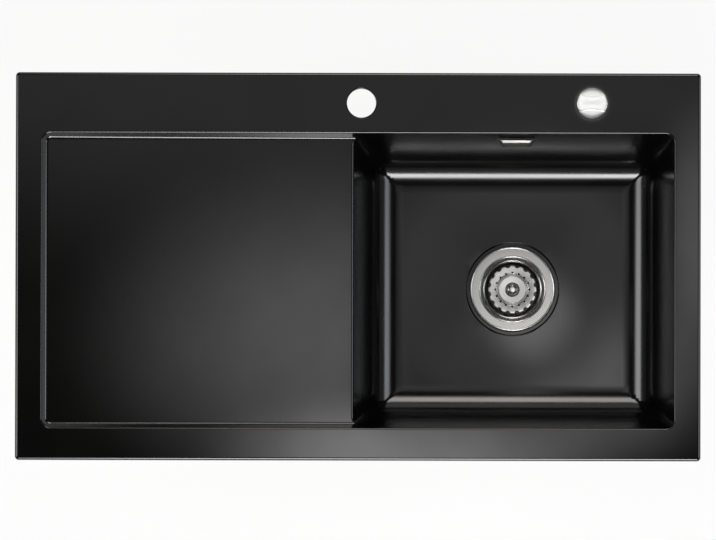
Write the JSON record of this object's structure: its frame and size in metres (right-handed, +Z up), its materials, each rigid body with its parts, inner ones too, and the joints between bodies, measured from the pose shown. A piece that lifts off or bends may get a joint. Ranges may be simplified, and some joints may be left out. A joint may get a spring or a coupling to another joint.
{
  "type": "inset kitchen sink",
  "caption": "Inset kitchen sink in black glazed ceramic: drainer on the left, bowl with overflow on the right, and a basket strainer lifted by a rotary knob on the tap deck.",
  "frame": {"origin": "centre of the rim's outline, in the plane of the worktop's surface that the rim's ground seat rests on", "axes": "+Z up, out of the worktop; +X to the right along the sink's length; +Y to the rear, towards the tap deck"},
  "size_m": [0.9, 0.51, 0.315],
  "materials": {
    "black_glaze": "satin black glaze",
    "stainless_steel": "brushed",
    "bright_chrome": "polished",
    "black_rubber": "matt",
    "black_plastic": "smooth sheath",
    "grey_plastic": "moulded",
    "white_plastic": "moulded"
  },
  "bodies": {
    "sink": {"ceramic_basin": "black_glaze", "strainer_flange": "stainless_steel", "flange_gasket": "black_rubber", "body_gasket": "black_rubber", "waste_body": "white_plastic", "clamp_bolt": "stainless_steel", "shaft_seal": "black_rubber", "gland_nut": "white_plastic", "crank_housing": "grey_plastic", "crank_cover": "grey_plastic", "crank_screws": "stainless_steel", "lower_ferrule": "bright_chrome", "control_cable": "black_plastic", "upper_ferrule": "bright_chrome", "upper_wire": "stainless_steel", "actuator_housing": "grey_plastic", "actuator_cover": "grey_plastic", "actuator_screws": "stainless_steel", "knob_bushing": "grey_plastic", "deck_seal": "black_rubber", "deck_washer": "black_rubber", "deck_nut": "grey_plastic", "overflow_hood": "stainless_steel", "overflow_frame": "stainless_steel", "overflow_screws": "stainless_steel", "overflow_gasket": "black_rubber", "overflow_housing": "white_plastic", "overflow_hose": "white_plastic", "upper_hose_nut": "white_plastic", "lower_hose_nut": "white_plastic"},
    "knob": {"control_knob": "bright_chrome", "knob_spindle": "stainless_steel", "cable_drum": "white_plastic", "drum_wire": "stainless_steel", "drum_clip": "stainless_steel"},
    "cam": {"lift_cam": "white_plastic", "cam_shaft": "stainless_steel", "crank_arm": "stainless_steel"},
    "slider": {"crank_slider": "white_plastic", "lower_wire": "stainless_steel"},
    "pin": {"lift_pin": "stainless_steel"},
    "basket": {"strainer_basket": "stainless_steel", "basket_pull": "bright_chrome", "basket_stem": "stainless_steel", "basket_spacer": "white_plastic", "basket_washer": "stainless_steel", "basket_seal": "black_rubber"}
  },
  "joints": [
    {"name": "knob_turn", "type": "hinge", "parent": "sink", "child": "knob", "pos_m": [0.307, 0.215, 0.02], "axis": [0, 0, 1], "range_deg": [0, 90]},
    {"name": "cam_turn", "type": "hinge", "parent": "sink", "child": "cam", "pos_m": [0.204, -0.0185, -0.249], "axis": [-1, 0, 0], "range_deg": [0, 90]},
    {"name": "wire_pull", "type": "slide", "parent": "sink", "child": "slider", "axis": [0, 1, 0], "range_m": [0, 0.017]},
    {"name": "pin_lift", "type": "slide", "parent": "sink", "child": "pin", "axis": [0, 0, 1], "range_m": [0, 0.006]},
    {"name": "basket_lift", "type": "slide", "parent": "pin", "child": "basket", "axis": [0, 0, 1], "range_m": [0, 0.24]}
  ],
  "couplings": [
    {"joint": "cam_turn", "follows": "knob_turn", "ratio": 1},
    {"joint": "wire_pull", "follows": "knob_turn", "m_per_rad": 0.010803},
    {"joint": "pin_lift", "follows": "knob_turn", "m_per_rad": 0.003819}
  ]
}
